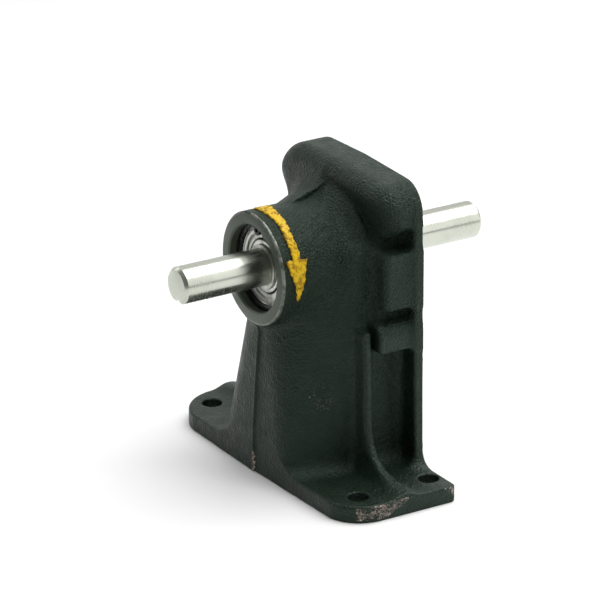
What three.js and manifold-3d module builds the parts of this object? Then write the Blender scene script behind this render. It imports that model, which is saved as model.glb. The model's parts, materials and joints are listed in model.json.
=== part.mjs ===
// Cast-iron shaft pedestal: a drilled foot, a tapered column, a round bearing boss and a flat-backed
// head flange in one casting, with a 20 mm shaft turning in two shielded ball bearings.
// Millimetres, +Z up. The shaft lies along Y and its front end points to -Y. The origin is under the
// middle of the shaft, on the surface that the foot stands on.
import * as THREE from 'three';
import * as BufferGeometryUtils from 'three/addons/utils/BufferGeometryUtils.js';
import Module from 'manifold-3d';

const wasm = await Module();
wasm.setup();

// ---- driving dimensions -------------------------------------------------------------------------
const shaftLength = 184;
const shaftRadius = 10;
const frontStub = 46; // shaft standing proud of the boss face
const axisHeight = 115;

// From here on, y is measured back from the boss face.
const footWidth = 177;
const footDepth = 70;
const footThickness = 9;
const footCornerRadius = { left: 27, right: 20 };
const moldDraft = THREE.MathUtils.degToRad(1.25);

const bossRadius = 30.5;
const bossLength = 30;
const coreHalfWidth = 43.5; // half width of the column at its rear
const coreFrontY = 36;
const archFrontY = 47;
const archHalfWidth = 46; // ellipse over the bearing bore, cut off at coreHalfWidth
const archRise = 38.5;

const plateThickness = 5.4; // thin rear plate of the flange
const plateTopHalfWidth = 54.5;
const plateFootHalfWidth = 56.8;
const headTop = 165;
const headFrontY = 47;
const headFloorZ = 147;
const headCornerRadius = { left: 23, right: 15 };

const padHalfWidth = 54.4;
const padZ = [98.5, 129];
const lugZ = [75.5, 90.5];
const lugFrontY = 44;
const ribY = [36, 41];

const wall = 9;
const cavityTop = 66;

const mountHole = { x: 73.2, y: [18.7, 62.2], radius: 5.5 };
const flangeHole = { places: [[46, 84.7], [43, 153]], radius: 3.4, depth: 15 }; // M8 tapping drill

// Ball bearing, 20 x 47 x 14 mm, with eight balls of 5/16 inch.
const bearingBoreRadius = 10;
const bearingOuterRadius = 23.5;
const bearingWidth = 14;
const bearingRecess = 6.9; // from each end face of the casting
const pitchRadius = 16.75;
const ballRadius = 3.969;
const ballCount = 8;
const springSpace = 2;
const shoulderRadius = 20.5; // bore between the bearings
const shaftCollarRadius = 13; // thicker middle of the shaft, between the inner rings
const fit = 0.08; // radial clearance drawn between neighbouring round parts

// Retaining rings for a 47 mm bore and a 20 mm shaft, and the key slot under the shaft's front end.
const retainer = {
  inner: 21.3, outer: 24.6, earRadius: 2.7, earCentre: 19.6, earHole: 1.25, gap: 0.1, thickness: 1.75,
  groove: 2.1, grooveRadius: 24.8, earsFromTop: 0,
};
const clip = {
  inner: 9.65, outer: 12, earRadius: 1.9, earCentre: 12.6, earHole: 0.9, gap: 0.12, thickness: 1.2,
  groove: 1.5, grooveRadius: 9.5, earsFromTop: 90,
};
const keyway = { width: 6, depth: 3.5, length: 38 };

const roundSegments = 40;

const iron = new THREE.MeshStandardMaterial({ color: 0x1b1f1d, roughness: 0.45, metalness: 0.2 });
const groundSteel = new THREE.MeshStandardMaterial({ color: 0xc9c7c2, roughness: 0.25, metalness: 1 });
const ringSteel = new THREE.MeshStandardMaterial({ color: 0xb4b6b8, roughness: 0.22, metalness: 1 });
const shieldSteel = new THREE.MeshStandardMaterial({ color: 0xa5a7a9, roughness: 0.4, metalness: 1 });
const springSteel = new THREE.MeshStandardMaterial({ color: 0x2a2a2b, roughness: 0.5, metalness: 0.8 });

// ---- helpers ------------------------------------------------------------------------------------
function solid(geometry) {
  const bare = geometry.clone();
  bare.deleteAttribute('normal');
  bare.deleteAttribute('uv');
  const merged = BufferGeometryUtils.mergeVertices(bare, 1e-4);
  const index = merged.index.array;
  const kept = [];
  for (let i = 0; i < index.length; i += 3) {
    const [a, b, c] = [index[i], index[i + 1], index[i + 2]];
    if (a !== b && b !== c && c !== a) kept.push(a, b, c);
  }
  const vertProperties = new Float32Array(merged.attributes.position.array);
  const mesh = new wasm.Mesh({ numProp: 3, vertProperties, triVerts: new Uint32Array(kept) });
  return new wasm.Manifold(mesh);
}

function toGeometry(manifold) {
  const mesh = manifold.getMesh();
  const geometry = new THREE.BufferGeometry();
  geometry.setAttribute('position', new THREE.BufferAttribute(mesh.vertProperties, 3));
  geometry.setIndex(new THREE.BufferAttribute(mesh.triVerts, 1));
  geometry.computeVertexNormals();
  return geometry;
}

function box(x0, x1, y0, y1, z0, z1) {
  const geometry = new THREE.BoxGeometry(x1 - x0, y1 - y0, z1 - z0);
  return solid(geometry.translate((x0 + x1) / 2, (y0 + y1) / 2, (z0 + z1) / 2));
}

// A plan outline (x, y), pushed up from z0 to z1.
function upward(shape, z0, z1, curveSegments = 8) {
  const geometry = new THREE.ExtrudeGeometry(shape, { depth: z1 - z0, bevelEnabled: false, curveSegments });
  return geometry.translate(0, 0, z0);
}

// A front outline (x, z), pushed back from y0 to y1.
function backward(shape, y0, y1, curveSegments = 8) {
  const geometry = new THREE.ExtrudeGeometry(shape, { depth: y1 - y0, bevelEnabled: false, curveSegments });
  return geometry.rotateX(Math.PI / 2).translate(0, y1, 0);
}

function outline(points) {
  return new THREE.Shape(points.map(([u, v]) => new THREE.Vector2(u, v)));
}

// A body turned about the shaft axis, from [radius, y] pairs that run from front to back.
function turned(profile, segments = roundSegments) {
  const points = profile.map(([radius, y]) => new THREE.Vector2(radius, y));
  return solid(new THREE.LatheGeometry(points, segments).translate(0, 0, axisHeight));
}

// A plain round bar or hole along the shaft direction, at any centre.
function roundBar(radius, y0, y1, x, z, segments = 24) {
  const geometry = new THREE.CylinderGeometry(radius, radius, y1 - y0, segments);
  return solid(geometry.translate(x, (y0 + y1) / 2, z));
}

function bothSides(part) {
  return part.add(part.mirror([1, 0, 0]));
}

// ---- the casting --------------------------------------------------------------------------------
function footPlate() {
  const half = footWidth / 2;
  const sweep = half * Math.tan(moldDraft);
  const { left, right } = footCornerRadius;
  const small = 3;
  const shape = new THREE.Shape();
  shape.moveTo(0, 0);
  shape.absarc(half - right, sweep + right, right, -Math.PI / 2, 0);
  shape.absarc(half - small, footDepth - small, small, 0, Math.PI / 2);
  shape.absarc(small - half, footDepth - small, small, Math.PI / 2, Math.PI);
  shape.absarc(left - half, sweep + left, left, Math.PI, Math.PI * 1.5);
  const plate = solid(upward(shape, 0, footThickness));
  const holes = [];
  for (const x of [-mountHole.x, mountHole.x]) {
    for (const y of mountHole.y) {
      const drill = new THREE.CylinderGeometry(mountHole.radius, mountHole.radius, footThickness * 3, 28);
      holes.push(solid(drill.rotateX(Math.PI / 2).translate(x, y, 0)));
    }
  }
  return holes.reduce((body, hole) => body.subtract(hole), plate);
}

// The column narrows towards the boss: its front corners move in and its front face leans back.
const columnFrontHalf = 34;
const columnTaper = 0.215;
const columnLean = 0.05;

function columnBody(top, inset) {
  const corner = 8;
  const front = columnFrontHalf - inset * 0.8;
  const rear = coreHalfWidth - inset;
  const rearY = footDepth - plateThickness - inset;
  const cornerY = inset + corner + front * Math.tan(moldDraft);
  const shape = new THREE.Shape();
  shape.moveTo(0, inset);
  shape.absarc(front - corner, cornerY, corner, -Math.PI / 2, -Math.PI / 6, false);
  shape.lineTo(rear, coreFrontY);
  shape.lineTo(rear, rearY);
  shape.lineTo(-rear, rearY);
  shape.lineTo(-rear, coreFrontY);
  shape.absarc(corner - front, cornerY, corner, Math.PI * 7 / 6, Math.PI * 1.5, false);
  const geometry = upward(shape, 0, top, 5);
  const position = geometry.attributes.position;
  for (let i = 0; i < position.count; i += 1) {
    const z = position.getZ(i);
    const y = position.getY(i);
    const frontness = THREE.MathUtils.clamp(1 - y / coreFrontY, 0, 1);
    position.setX(i, position.getX(i) * (1 - frontness * columnTaper * z / columnFrontHalf));
    position.setY(i, y + columnLean * z * frontness);
  }
  return solid(geometry);
}

// The arch over the bore: half an ellipse, cut off at the column's sides.
function archOutline() {
  const steps = 14;
  const points = [[-coreHalfWidth, 0], [coreHalfWidth, 0]];
  for (let i = 0; i <= steps; i += 1) {
    const x = coreHalfWidth * (1 - (2 * i) / steps);
    points.push([x, axisHeight + archRise * Math.sqrt(1 - (x / archHalfWidth) ** 2)]);
  }
  return outline(points);
}

// The flange's outline: upright sides with a slight draft, round top corners and a crowned top.
function headOutline(halfTop, halfFoot, top, foot, inset = 0) {
  const crown = 1.6;
  const left = headCornerRadius.left - inset;
  const right = headCornerRadius.right - inset;
  const shape = new THREE.Shape();
  shape.moveTo(-halfFoot, foot);
  shape.lineTo(halfFoot, foot);
  shape.absarc(halfTop - right, top - crown - right, right, 0, Math.PI / 2);
  shape.lineTo(0, top);
  shape.absarc(left - halfTop, top - crown - left, left, Math.PI / 2, Math.PI);
  return shape;
}

// The thick head, rounded over at its front.
function head() {
  const round = 8;
  const half = padHalfWidth - round;
  const shape = headOutline(half, half, headTop - round, headFloorZ - 20, round);
  const depth = footDepth - headFrontY;
  const geometry = new THREE.ExtrudeGeometry(shape, {
    depth,
    bevelThickness: round,
    bevelSize: round,
    bevelSegments: 4,
    curveSegments: 6,
  });
  geometry.rotateX(Math.PI / 2).translate(0, headFrontY + depth + round, 0);
  return solid(geometry).intersect(box(-200, 200, 0, footDepth - 1, headFloorZ, 200));
}

function rib() {
  const shape = outline([
    [coreHalfWidth - 4, footThickness - 2],
    [87, footThickness - 2],
    [86, 10.5],
    [75, 13.5],
    [66, 18],
    [59.5, 23],
    [55.2, 28.5],
    [53.4, 35],
    [53, 56],
    [52.4, 76],
    [51.4, 87],
    [coreHalfWidth - 4, 87],
  ]);
  return bothSides(solid(backward(shape, ribY[0], ribY[1])));
}

// On the left the head's side carries straight on down to the pad.
function leftFlank() {
  return box(2 - padHalfWidth, 4 - coreHalfWidth, headFrontY + 4, footDepth - 1, padZ[1] - 2, headFloorZ + 2);
}

// The underside of the head, sloping in to the column's side.
function headCove() {
  const shape = outline([
    [coreHalfWidth - 4, 126],
    [coreHalfWidth, 129.5],
    [46.8, 132.5],
    [49.8, 137],
    [52.4, 143],
    [53.9, 149],
    [coreHalfWidth - 4, 151],
  ]);
  return bothSides(solid(backward(shape, headFrontY + 4, footDepth - 1)));
}

// What is cut away over the boss, up to a line that rises from the boss to the head.
function clearOverBoss() {
  const start = axisHeight + 4;
  const shape = outline([[-20, start], [20, start], [archFrontY, start + 22], [archFrontY, 170], [-20, 170]]);
  const geometry = new THREE.ExtrudeGeometry(shape, { depth: 120, bevelEnabled: false });
  const toSide = new THREE.Matrix4().set(0, 0, 1, 0, 1, 0, 0, 0, 0, 1, 0, 0, 0, 0, 0, 1);
  return solid(geometry.applyMatrix4(toSide).translate(-60, 0, 0));
}

function lug() {
  const top = lugZ[1];
  const round = 5.5;
  const shape = new THREE.Shape();
  shape.moveTo(coreHalfWidth - 4, lugZ[0]);
  shape.lineTo(padHalfWidth, lugZ[0]);
  shape.absarc(padHalfWidth - round, top - round, round, 0, Math.PI / 2);
  shape.lineTo(coreHalfWidth - 4, top);
  return bothSides(solid(backward(shape, lugFrontY, footDepth - 1, 5)));
}

function casting() {
  const rearPlateFront = footDepth - plateThickness;
  const plateShape = headOutline(plateTopHalfWidth, plateFootHalfWidth, headTop, 1);
  const plate = solid(backward(plateShape, rearPlateFront, footDepth));
  const core = box(-coreHalfWidth, coreHalfWidth, 50, footDepth - 1, axisHeight, headFloorZ + 4);
  const pad = box(-padHalfWidth, padHalfWidth, headFrontY, footDepth - 1, padZ[0], padZ[1]);
  const boss = turned([
    [0, 0],
    [bossRadius - 1.2, 0],
    [bossRadius, 1.2],
    [bossRadius, bossLength - 2],
    [30.9, 33],
    [31.7, 37],
    [33.3, 41],
    [35.4, 44.4],
    [38.2, 46.8],
    [39.4, 48],
    [38.9, 49.6],
    [0, 50],
  ]);
  const column = columnBody(axisHeight + archRise, 0)
    .intersect(solid(backward(archOutline(), -20, footDepth - 1)))
    .subtract(clearOverBoss());
  let body = footPlate()
    .add(column)
    .add(solid(backward(archOutline(), archFrontY, footDepth - 1)))
    .add(core)
    .add(headCove())
    .add(leftFlank())
    .add(plate)
    .add(pad)
    .add(lug())
    .add(head())
    .add(rib())
    .add(boss);

  // Cored hollow, open to the underside, so that the walls are of even thickness.
  body = body.subtract(columnBody(cavityTop, wall).translate([0, 0, -0.5]));

  // Bearing seats, bored from both ends, and their retaining ring grooves.
  const seat = bearingOuterRadius;
  const frontSeatEnd = bearingRecess + bearingWidth;
  const rearSeatStart = footDepth - frontSeatEnd - springSpace;
  const through = [[0, -1], [shoulderRadius, -1], [shoulderRadius, footDepth + 1], [0, footDepth + 1]];
  body = body.subtract(turned(through, 40));
  for (const [start, end] of [[0, frontSeatEnd], [footDepth, rearSeatStart]]) {
    const inwards = Math.sign(end - start);
    const profile = [
      [0, start - inwards],
      [seat + 1.6, start - inwards],
      [seat, start + inwards * 0.7],
      [seat, start + inwards * (bearingRecess - retainer.groove)],
      [retainer.grooveRadius, start + inwards * (bearingRecess - retainer.groove)],
      [retainer.grooveRadius, start + inwards * bearingRecess],
      [seat, start + inwards * bearingRecess],
      [seat, end],
      [0, end],
    ];
    body = body.subtract(turned(inwards > 0 ? profile : profile.reverse()));
  }

  // Tapped holes in the machined rear face, into the side lugs and the head.
  for (const [x, z] of flangeHole.places) {
    const hole = roundBar(flangeHole.radius, footDepth - flangeHole.depth, footDepth + 1, x, z, 16);
    body = body.subtract(bothSides(hole));
  }
  return body;
}

// ---- the shaft and what is on it ----------------------------------------------------------------
function shaft() {
  const front = -frontStub;
  const back = shaftLength - frontStub;
  const seatFront = bearingRecess + bearingWidth + 0.1;
  const seatBack = footDepth - seatFront;
  const groove = clip.groove;
  const chamfer = 1.6;
  const bar = turned([
    [0, front],
    [shaftRadius - chamfer, front],
    [shaftRadius, front + chamfer],
    [shaftRadius, bearingRecess - groove],
    [clip.grooveRadius, bearingRecess - groove],
    [clip.grooveRadius, bearingRecess - 0.05],
    [shaftRadius, bearingRecess - 0.05],
    [shaftRadius, seatFront],
    [shaftCollarRadius, seatFront],
    [shaftCollarRadius, seatBack],
    [shaftRadius, seatBack],
    [shaftRadius, footDepth - bearingRecess + 0.05],
    [clip.grooveRadius, footDepth - bearingRecess + 0.05],
    [clip.grooveRadius, footDepth - bearingRecess + groove],
    [shaftRadius, footDepth - bearingRecess + groove],
    [shaftRadius, back - chamfer],
    [shaftRadius - chamfer, back],
    [0, back],
  ]);
  const half = keyway.width / 2;
  const bottom = axisHeight - shaftRadius;
  const end = front + keyway.length - half;
  const slot = box(-half, half, front - 1, end, bottom - 1, bottom + keyway.depth);
  const run = new THREE.CylinderGeometry(half, half, keyway.depth + 1, 20);
  const runOut = solid(run.rotateX(Math.PI / 2).translate(0, end, bottom - 0.5 + keyway.depth / 2));
  return bar.subtract(slot.add(runOut));
}

// A raceway groove, as [radius, y] pairs across the bearing's middle.
function raceway(side, centre, edgeRadius) {
  const grooveRadius = ballRadius + 0.16;
  const half = Math.acos(Math.abs(edgeRadius - pitchRadius) / grooveRadius);
  const steps = 4;
  const points = [];
  for (let i = 0; i <= steps; i += 1) {
    const angle = -half + (2 * half * i) / steps;
    points.push([pitchRadius + side * grooveRadius * Math.cos(angle), centre + grooveRadius * Math.sin(angle)]);
  }
  return points;
}

function bearing(prefix, front) {
  const back = front + bearingWidth;
  const middle = (front + back) / 2;
  const bore = bearingBoreRadius + fit;
  const rim = bearingOuterRadius - fit;
  const innerEdge = 14.1;
  const outerEdge = 19.6;
  const pieces = {};
  pieces.inner_ring = [ringSteel, turned([
    [bore, front + 0.6], [bore + 0.6, front], [innerEdge, front],
    ...raceway(-1, middle, innerEdge),
    [innerEdge, back], [bore + 0.6, back], [bore, back - 0.6], [bore, front + 0.6],
  ], 36)];
  pieces.outer_ring = [ringSteel, turned([
    [outerEdge, back], ...raceway(1, middle, outerEdge).reverse(), [outerEdge, front], [rim - 0.8, front],
    [rim, front + 0.8], [rim, back - 0.8], [rim - 0.8, back], [outerEdge, back],
  ], 40)];
  for (const [name, y0] of [['front_shield', front + 0.5], ['rear_shield', back - 0.9]]) {
    pieces[name] = [shieldSteel, turned([
      [innerEdge + 0.5, y0], [outerEdge - 0.1, y0], [outerEdge - 0.1, y0 + 0.4], [innerEdge + 0.5, y0 + 0.4],
      [innerEdge + 0.5, y0],
    ], 36)];
  }
  let cage = turned([[15.4, middle - 5.2], [18.1, middle - 5.2], [18.1, middle + 5.2], [15.4, middle + 5.2],
    [15.4, middle - 5.2]], 32);
  for (let i = 0; i < ballCount; i += 1) {
    const angle = (2 * Math.PI * (i + 0.5)) / ballCount;
    const x = pitchRadius * Math.sin(angle);
    const z = axisHeight + pitchRadius * Math.cos(angle);
    const pocket = new THREE.SphereGeometry(ballRadius + 0.6, 8, 5).translate(x, middle, z);
    cage = cage.subtract(solid(pocket));
    const ball = new THREE.SphereGeometry(ballRadius, 10, 6).translate(x, middle, z);
    pieces[`ball_${i + 1}`] = [ringSteel, solid(ball)];
  }
  pieces.cage = [shieldSteel, cage];
  return Object.entries(pieces).map(([name, [material, body]]) => [`${prefix}_${name}`, material, body]);
}

// A flat spring ring with a gap and two drilled ears, turned anticlockwise from the top.
function snapRing({ inner, outer, earRadius, earCentre, earHole, gap, thickness, earsFromTop }, front) {
  const shape = new THREE.Shape();
  shape.absarc(0, 0, outer, Math.PI / 2 + gap, Math.PI * 2.5 - gap, false);
  shape.absarc(0, 0, inner, Math.PI * 2.5 - gap, Math.PI / 2 + gap, true);
  let ring = solid(backward(shape, front, front + thickness, 30));
  for (const side of [-1, 1]) {
    const angle = Math.PI / 2 + side * (gap + earRadius / earCentre * 0.8);
    const x = earCentre * Math.cos(angle);
    const z = earCentre * Math.sin(angle);
    ring = ring.add(roundBar(earRadius, front, front + thickness, x, z, 14));
    ring = ring.subtract(roundBar(earHole, front - 1, front + thickness + 1, x, z, 8));
  }
  return ring.rotate([0, -earsFromTop, 0]).translate([0, 0, axisHeight]);
}

function waveSpring(front) {
  const shape = new THREE.Shape();
  shape.absarc(0, 0, bearingOuterRadius - 0.4, 0, Math.PI * 2);
  const hole = new THREE.Path();
  hole.absarc(0, 0, 20.6, 0, Math.PI * 2);
  shape.holes.push(hole);
  const thickness = 0.4;
  const geometry = backward(shape, front, front + thickness, 32);
  const position = geometry.attributes.position;
  const waves = 4;
  for (let i = 0; i < position.count; i += 1) {
    const angle = Math.atan2(position.getZ(i), position.getX(i));
    const lift = (springSpace - thickness) / 2 - 0.1;
    position.setY(i, position.getY(i) + 0.1 + lift * (1 + Math.sin(waves * angle)));
  }
  return solid(geometry).translate([0, 0, axisHeight]);
}

// ---- assembly -----------------------------------------------------------------------------------
const assembly = new THREE.Group();
const pedestal = new THREE.Group();
pedestal.position.y = frontStub - shaftLength / 2;
assembly.add(pedestal);

function place(name, material, body) {
  const mesh = new THREE.Mesh(toGeometry(body), material);
  mesh.name = name;
  pedestal.add(mesh);
}

place('pedestal_casting', iron, casting());
place('drive_shaft', groundSteel, shaft());
const rearBearingFront = footDepth - bearingRecess - bearingWidth;
for (const [prefix, front] of [['front_bearing', bearingRecess], ['rear_bearing', rearBearingFront]]) {
  for (const [name, material, body] of bearing(prefix, front)) place(name, material, body);
}
place('front_bore_ring', springSteel, snapRing(retainer, bearingRecess - retainer.thickness - 0.1));
place('rear_bore_ring', springSteel, snapRing(retainer, footDepth - bearingRecess + 0.1));
place('front_shaft_ring', springSteel, snapRing(clip, bearingRecess - clip.thickness - 0.1));
place('rear_shaft_ring', springSteel, snapRing(clip, footDepth - bearingRecess + 0.1));
place('preload_wave_spring', springSteel, waveSpring(rearBearingFront - springSpace));

export default assembly;
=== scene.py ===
import json
import math

import bmesh
import bpy
import numpy as np
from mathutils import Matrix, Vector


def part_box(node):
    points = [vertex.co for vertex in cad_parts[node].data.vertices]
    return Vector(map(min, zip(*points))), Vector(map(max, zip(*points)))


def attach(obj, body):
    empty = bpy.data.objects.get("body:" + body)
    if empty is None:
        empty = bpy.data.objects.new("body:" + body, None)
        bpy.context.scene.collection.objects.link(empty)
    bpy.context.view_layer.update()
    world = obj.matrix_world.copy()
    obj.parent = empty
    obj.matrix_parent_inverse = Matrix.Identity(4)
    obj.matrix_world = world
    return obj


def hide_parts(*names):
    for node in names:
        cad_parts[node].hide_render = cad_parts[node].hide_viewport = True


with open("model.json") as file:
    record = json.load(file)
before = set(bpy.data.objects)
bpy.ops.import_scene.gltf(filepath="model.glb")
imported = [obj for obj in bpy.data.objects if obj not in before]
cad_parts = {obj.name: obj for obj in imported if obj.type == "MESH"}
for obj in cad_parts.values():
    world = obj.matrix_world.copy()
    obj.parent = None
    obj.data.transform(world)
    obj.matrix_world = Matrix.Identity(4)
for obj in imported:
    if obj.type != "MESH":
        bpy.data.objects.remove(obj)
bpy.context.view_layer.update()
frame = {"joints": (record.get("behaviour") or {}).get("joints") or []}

import openvdb
from mathutils import Vector

# A cast-iron shaft pedestal. The casting and the painted arrow are meshed from distance fields, the
# shaft and bearings are turned from profiles, and the retaining rings are stamped from outlines.

# ---- sizes in millimetres: the frame's own first, then those that follow the CAD ------------------
MM = 0.001
cast_lo, cast_hi = (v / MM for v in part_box("pedestal_casting"))
shaft_lo, shaft_hi = (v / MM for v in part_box("drive_shaft"))
spin = next(j for j in frame["joints"] if j["name"] == "shaft_spin")
AXIS_Z = spin["pos_m"][2] / MM
FACE_Y = cast_lo.y            # the boss face; depths below are measured back from it
DEPTH = cast_hi.y - cast_lo.y
HALF_WIDTH = cast_hi.x
TOP = cast_hi.z

# foot
FOOT = 9.0                    # thickness
FOOT_CORNERS = (27.0, 20.0)   # front corner radii, left and right
REAR_CORNER = 3.0
FOOT_FAIRING = 10.0           # how softly it runs up into the column and ribs
HOLE_X = (72.7, 73.2)         # left and right
HOLE_Y = (18.7, 62.2)
HOLE_R = 5.5
DRAFT = math.tan(math.radians(1.25))
SEAM_STEP = 0.8               # the right-hand mould half sits this much further back

# column
CORE = 43.5                   # half width at the rear
CORE_Y = 46.0                 # where the straight-sided rear part starts
SIDE_TOP = 130.0
ARCH_R = 38.2                 # its round top
FRONT_ARCH_R = 39.0           # the same on the tapered front part
FRONT_HALF = 36.0             # half width of the front face at the foot
FRONT_TAPER = 0.222           # what that loses per mm of height
FACE_LEAN = 0.065             # how fast the front face leans back
FACE_LEAN_FROM = 21.0
SHOULDER = (20.0, 4.0)        # where the column's top starts: depth, and height over the axis
RIB_Y = (36.0, 41.0)
WALL = 9.0
HOLLOW_TOP = 66.0

# boss
BOSS_R = 30.5
FACE_CUT = 0.9                # depth of the machined ring at its front
FLARE = 9.4                   # how far it widens towards the head
FLARE_START = 26.0
FLARE_RUN = 22.0
FLARE_POWER = 2.6
FLARE_END = 48.8
WEB_START = 24.5              # the straighter fillet on the left half
WEB_RUN = 24.0
WEB_SLOPE = 0.375
WEB_FOOT = 128.0

# head, pads and lugs
HEAD_Y = 47.0
HEAD_CORNERS = (23.0, 15.0)   # upper corner radii, left and right
HEAD_ROUND = 9.0
HEAD_LEAN = (4.2, 4.6)        # how far its face leans in, left and right
HEAD_LIP = (150.0, 157.0)     # the lip that it leans in below
LEAN_RUN = (26.0, 19.0)       # over this height
HEAD_BACK = DEPTH + 8         # past the rear face, where all is cut flat
BLOCK_BACK = DEPTH + 5
CROWN = 1.6
PLATE_Y = DEPTH - 5.4         # front of the thin rear plate
PLATE_TOP_HALF = 54.5
PLATE_FOOT_HALF = 56.8
BLOCK_HALF = PLATE_TOP_HALF + 0.1
BLOCK_INNER = 20.0            # inside the column
BETWEEN_HALF = 45.8           # the filling between pad and lug
PAD_Z = (98.5, 129.0)
HEAD_FEET = (PAD_Z[0], 116.0) # how low the head reaches, left and right
LUG_Z = (75.5, 90.5)
LUG_Y = 44.0

# bearing seats and tapped holes
SEAT_R = 23.5
SHOULDER_R = 20.5
RECESS = 6.9
BEARING_WIDTH = 14.0
MOUTH_R = 24.3                # the seat's chamfered mouth
GROOVE_R = 24.8
GROOVE_WIDTH = 2.1
SPRING_SPACE = 2.0
TAPPED = ((46.0, 84.7), (43.0, 153.0))
TAP_R = 3.4
TAP_DEPTH = 15.0


# ---- distance fields -----------------------------------------------------------------------------
def smooth_min(a, b, k):
    h = np.clip(0.5 + 0.5 * (b - a) / k, 0.0, 1.0)
    return b * (1 - h) + a * h - k * h * (1 - h)


def smooth_max(a, b, k):
    return -smooth_min(-a, -b, k)


def rounded(u, v, r):
    """An edge of radius r between two faces; u and v are each face's distance plus r."""
    return np.minimum(np.maximum(u, v), 0) + np.hypot(np.maximum(u, 0), np.maximum(v, 0)) - r


def extruded(flat, along, start, end, r):
    """A flat outline's distance, pushed from start to end, with its long edges rounded by r."""
    return rounded(flat + r, np.abs(along - (start + end) / 2) - (end - start) / 2 + r, r)


def rectangle(u, v, lo, hi, r):
    a = np.abs(u - (lo[0] + hi[0]) / 2) - (hi[0] - lo[0]) / 2 + r
    b = np.abs(v - (lo[1] + hi[1]) / 2) - (hi[1] - lo[1]) / 2 + r
    return rounded(a, b, r)


def smooth_step(t):
    t = np.clip(t, 0, 1)
    return t * t * (3 - 2 * t)


def polygon(u, v, points):
    """Signed distance to a closed polygon."""
    best = np.full(np.broadcast(u, v).shape, 1e9)
    inside = np.zeros(best.shape, bool)
    for (x0, y0), (x1, y1) in zip(points, points[1:] + points[:1]):
        ex, ey = x1 - x0, y1 - y0
        wx, wy = u - x0, v - y0
        t = np.clip((wx * ex + wy * ey) / (ex * ex + ey * ey), 0, 1)
        best = np.minimum(best, (wx - ex * t) ** 2 + (wy - ey * t) ** 2)
        crosses = (y0 <= v) != (y1 <= v)
        side = wx * ey < wy * ex if ey > 0 else wx * ey > wy * ex
        inside ^= crosses & side
    return np.where(inside, -1, 1) * np.sqrt(best)


# ---- the casting's shape: x across, y back from the boss face, z up; a is |x|, r is off the axis --
def seam(x):
    """The mould halves met with a small step down the front, and left a fine ridge."""
    return SEAM_STEP * smooth_step((x + 0.3) / 0.9) - 0.3 * np.exp(-((x + 0.5) / 0.5) ** 2)


def column_section(x, y, z, inset=0.0):
    """The tapered column: front face, slanted cheek and rear side, blended at their corners."""
    a = np.abs(x)
    front = np.maximum(0, FACE_LEAN * (z - FACE_LEAN_FROM)) + a * DRAFT + inset + seam(x)
    half = FRONT_HALF - FRONT_TAPER * z - 0.8 * inset
    rear = CORE + 0.6 - 0.012 * z - inset
    cheek_y = RIB_Y[0] + 2 - front
    cheek = ((a - half) * cheek_y - (y - front) * (rear - half)) / np.hypot(cheek_y, rear - half)
    section = smooth_max(front - y, cheek, 12)
    section = smooth_max(section, a - rear, 6)
    return np.maximum(section, y - (DEPTH - 2 - inset))


def column_field(x, y, z, a, r):
    """The column and its straight rear part, closed over the bore by a low shoulder."""
    side = smooth_max(a - CORE + 1.2, z - SIDE_TOP, 8)
    column = smooth_max(column_section(x, y, z), smooth_min(r - FRONT_ARCH_R, side - 1.5, 8), 4)
    shoulder = (z - AXIS_Z - SHOULDER[1]) * 0.72 - (y - SHOULDER[0]) * 0.69
    column = smooth_max(column, shoulder, 10)
    arch = smooth_min(r - ARCH_R, side, 8)
    return smooth_min(column, extruded(arch, y, CORE_Y, DEPTH - 2, 3), 3)


def boss_field(y, r):
    """The boss, which flares out towards the head."""
    t = np.clip((y - FLARE_START) / FLARE_RUN, 0, 1)
    slope = FLARE * FLARE_POWER / FLARE_RUN * t ** (FLARE_POWER - 1)
    boss = (r - BOSS_R - FLARE * t ** FLARE_POWER) / np.sqrt(1 + slope ** 2)
    return np.maximum(smooth_max(boss, y - FLARE_END, 2.5), FACE_CUT - y)


def web_field(x, y, z, r):
    """The left half's fillet starts further forward, and ends in a step along the top."""
    web = (r - BOSS_R - WEB_SLOPE * np.clip(y - WEB_START, 0, WEB_RUN)) / 1.07
    return np.maximum(smooth_max(web, y - FLARE_END, 2.5), np.maximum(x + 2.2, WEB_FOOT - z))


def head_outline(x, z, a):
    corner = np.where(x < 0, HEAD_CORNERS[0], HEAD_CORNERS[1])
    half = PLATE_FOOT_HALF + (PLATE_TOP_HALF - PLATE_FOOT_HALF) * np.clip(z / (TOP - 16), 0, 1)
    top = TOP - CROWN * np.clip(a / PLATE_TOP_HALF, 0, 1)
    return rounded(a - half + corner, z - top + corner, corner)


def head_field(x, y, z, a, outline):
    """A thick block, coved underneath on the right, with a face that leans in below its lip."""
    cove_foot = PAD_Z[1] + 0.65 * (y - 50)
    cove_top = 151 - 0.38 * (y - HEAD_Y)
    climb = np.clip((z - cove_foot) / (cove_top - cove_foot), 0, 1)
    coved = CORE - 0.5 + (PLATE_TOP_HALF - CORE + 0.5) * (1 - (1 - climb) ** 2)
    plain = PLATE_TOP_HALF - 2.6 * smooth_step((146 - z) / 16)
    block = smooth_max(outline, (a - np.where(x > 0, coved, plain)) * 0.8, 2)
    block = np.maximum(block, np.where(x > 0, HEAD_FEET[1], HEAD_FEET[0]) - z)
    left, right = (HEAD_LEAN[i] * smooth_step((HEAD_LIP[i] - z) / LEAN_RUN[i]) for i in (0, 1))
    return extruded(block, y - np.where(x > 0, right, left), HEAD_Y, HEAD_BACK, HEAD_ROUND)


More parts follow.
